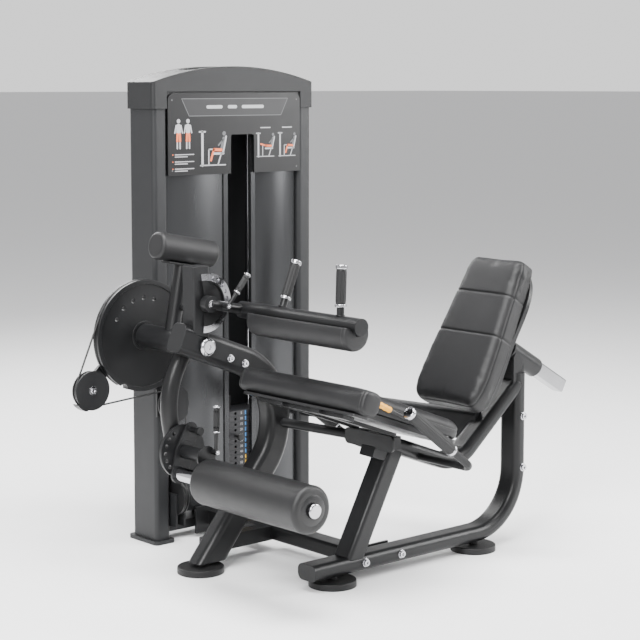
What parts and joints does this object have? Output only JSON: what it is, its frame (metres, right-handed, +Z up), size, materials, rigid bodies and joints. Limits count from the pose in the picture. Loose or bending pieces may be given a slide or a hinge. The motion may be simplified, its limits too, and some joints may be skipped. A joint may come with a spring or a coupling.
{
  "type": "leg extension machine",
  "caption": "Selectorised leg extension and leg curl machine with a weight tower, cam, padded ankle and thigh rolls, seat and a sliding backrest.",
  "frame": {"origin": "on the floor at the centre of the main frame's foot pad, under the main pivot", "axes": "+X from the lever arm towards the backrest, +Y from the seat towards the weight tower, +Z up"},
  "size_m": [1.5104, 1.149, 1.56],
  "materials": {
    "frame_paint": "satin charcoal textured powder coat",
    "tower_paint": "satin dark grey powder coat",
    "shroud": "dark metallic grey sheet",
    "cover_plastic": "fine grained moulded plastic",
    "placard": "printed satin panel",
    "chrome": "polished chrome",
    "steel": "ground steel",
    "black_steel": "black enamel",
    "upholstery": "fine grained black upholstery vinyl",
    "foam": "dense black foam with a fine grain",
    "rubber": "ribbed black rubber",
    "pulley_plastic": "black nylon",
    "yellow": "yellow moulded grip",
    "plates": "black machined cast plates",
    "cable": "nylon coated steel cable"
  },
  "bodies": {
    "frame": {"main_beam": "frame_paint", "foot_pads": "rubber", "thigh_post": "frame_paint", "thigh_index_plate": "chrome", "base_rail": "frame_paint", "seat_support": "frame_paint", "front_leg": "frame_paint", "floor_links": "frame_paint", "cross_links": "frame_paint", "knee_roll": "upholstery", "seat_cushion": "upholstery", "seat_boards": "black_steel", "seat_carriage": "frame_paint", "near_side_handle": "frame_paint", "far_side_handle": "frame_paint", "back_socket": "frame_paint", "rear_bearing_plate": "frame_paint", "exit_bracket": "black_steel", "drive_cable": "cable", "lift_cable": "chrome", "near_pillar": "tower_paint", "far_pillar": "tower_paint", "tower_base": "tower_paint", "tower_head": "black_steel", "guide_rods": "chrome", "front_shrouds": "shroud", "rear_panel": "tower_paint", "placard": "placard", "top_cover": "cover_plastic", "resting_plates": "plates", "frame_bolts": "chrome"},
    "cam_and_shaft": {"cam": "frame_paint", "main_shaft": "chrome"},
    "lever_arm": {"arm_tube": "frame_paint", "ankle_disc": "frame_paint", "counterweight_post": "frame_paint", "counterweight": "upholstery"},
    "start_lever": {"start_lever": "rubber"},
    "ankle_bracket": {"roll_cheek": "frame_paint", "roll_spindle": "frame_paint", "roll_axle": "chrome"},
    "ankle_roll": {"ankle_roll": "foam", "roll_core": "black_steel"},
    "roll_lever": {"roll_lever": "rubber"},
    "thigh_arm": {"thigh_arm": "frame_paint", "thigh_pad": "upholstery", "thigh_handle_grips": "rubber"},
    "thigh_lever": {"thigh_lever": "rubber"},
    "backrest": {"back_cushion": "upholstery", "back_board": "black_steel", "back_slide": "chrome"},
    "release_lever": {"release_lever": "yellow"},
    "lifted_stack": {"lifted_plates": "plates", "selector_stem": "rubber"},
    "selector_pin": {"selector_pin": "black_steel"},
    "idler_pulley": {"idler_pulley": "pulley_plastic"},
    "exit_pulley": {"exit_pulley": "pulley_plastic"},
    "low_pulley": {"low_pulley": "pulley_plastic"},
    "top_pulley_near": {"top_pulley_near": "pulley_plastic"},
    "top_pulley_far": {"top_pulley_far": "pulley_plastic"}
  },
  "joints": [
    {"name": "cam_swing", "type": "hinge", "parent": "frame", "child": "cam_and_shaft", "pos_m": [0, 0.297, 0.707], "axis": [0, 1, 0], "range_deg": [0, 75]},
    {"name": "start_adjust", "type": "hinge", "parent": "cam_and_shaft", "child": "lever_arm", "pos_m": [0, 0.15, 0.707], "axis": [0, 1, 0], "range_deg": [-20, 40]},
    {"name": "start_lever_pull", "type": "hinge", "parent": "lever_arm", "child": "start_lever", "pos_m": [0.02593, 0.12, 0.80893], "axis": [0, 1, 0], "range_deg": [0, 15], "stiffness_Nm_per_rad": 1.5},
    {"name": "ankle_adjust", "type": "hinge", "parent": "lever_arm", "child": "ankle_bracket", "pos_m": [-0.049, 0, 0.383], "axis": [0, 1, 0], "range_deg": [-35, 50]},
    {"name": "ankle_roll_spin", "type": "hinge", "parent": "ankle_bracket", "child": "ankle_roll", "pos_m": [-0.07, -0.3645, 0.317], "axis": [0, 1, 0], "continuous": true},
    {"name": "roll_lever_pull", "type": "hinge", "parent": "ankle_bracket", "child": "roll_lever", "pos_m": [-0.025, -0.11, 0.397], "axis": [0, 1, 0], "range_deg": [0, 12], "stiffness_Nm_per_rad": 1.5},
    {"name": "thigh_adjust", "type": "hinge", "parent": "frame", "child": "thigh_arm", "pos_m": [-0.008, 0, 0.841], "axis": [0, 1, 0], "range_deg": [-50, 12]},
    {"name": "thigh_lever_pull", "type": "hinge", "parent": "thigh_arm", "child": "thigh_lever", "pos_m": [0.034, -0.095, 0.833], "axis": [0, 1, 0], "range_deg": [-12, 0], "stiffness_Nm_per_rad": 1.5},
    {"name": "backrest_slide", "type": "slide", "parent": "frame", "child": "backrest", "axis": [0.866, 0, -0.5], "range_m": [-0.1, 0.04]},
    {"name": "release_lift", "type": "hinge", "parent": "frame", "child": "release_lever", "pos_m": [0.472, -0.592, 0.443], "axis": [0, 1, 0], "range_deg": [0, 8], "stiffness_Nm_per_rad": 6, "springref_deg": -14.32},
    {"name": "stack_lift", "type": "slide", "parent": "frame", "child": "lifted_stack", "axis": [0, 0, 1], "range_m": [0, 0.24], "deforming": ["lift_cable"]},
    {"name": "pin_pull", "type": "slide", "parent": "lifted_stack", "child": "selector_pin", "axis": [0, -1, 0], "range_m": [0, 0.085]},
    {"name": "idler_spin", "type": "hinge", "parent": "frame", "child": "idler_pulley", "pos_m": [-0.201, 0.297, 0.553], "axis": [0, 1, 0], "continuous": true},
    {"name": "exit_spin", "type": "hinge", "parent": "frame", "child": "exit_pulley", "pos_m": [0.12, 0.297, 0.47], "axis": [0, 1, 0], "continuous": true},
    {"name": "low_spin", "type": "hinge", "parent": "frame", "child": "low_pulley", "pos_m": [0.17, 0.3585, 0.15], "axis": [1, 0, 0], "continuous": true},
    {"name": "top_near_spin", "type": "hinge", "parent": "frame", "child": "top_pulley_near", "pos_m": [0.22, 0.42, 1.372], "axis": [0, 1, 0], "continuous": true},
    {"name": "top_far_spin", "type": "hinge", "parent": "frame", "child": "top_pulley_far", "pos_m": [0.387, 0.42, 1.372], "axis": [0, 1, 0], "continuous": true}
  ],
  "couplings": [
    {"joint": "stack_lift", "follows": "cam_swing", "m_per_rad": 0.178},
    {"joint": "idler_spin", "follows": "cam_swing", "ratio": -3.2364},
    {"joint": "exit_spin", "follows": "cam_swing", "ratio": 3.56},
    {"joint": "low_spin", "follows": "cam_swing", "ratio": 2.8943},
    {"joint": "top_near_spin", "follows": "cam_swing", "ratio": -3.56},
    {"joint": "top_far_spin", "follows": "cam_swing", "ratio": -3.56}
  ]
}
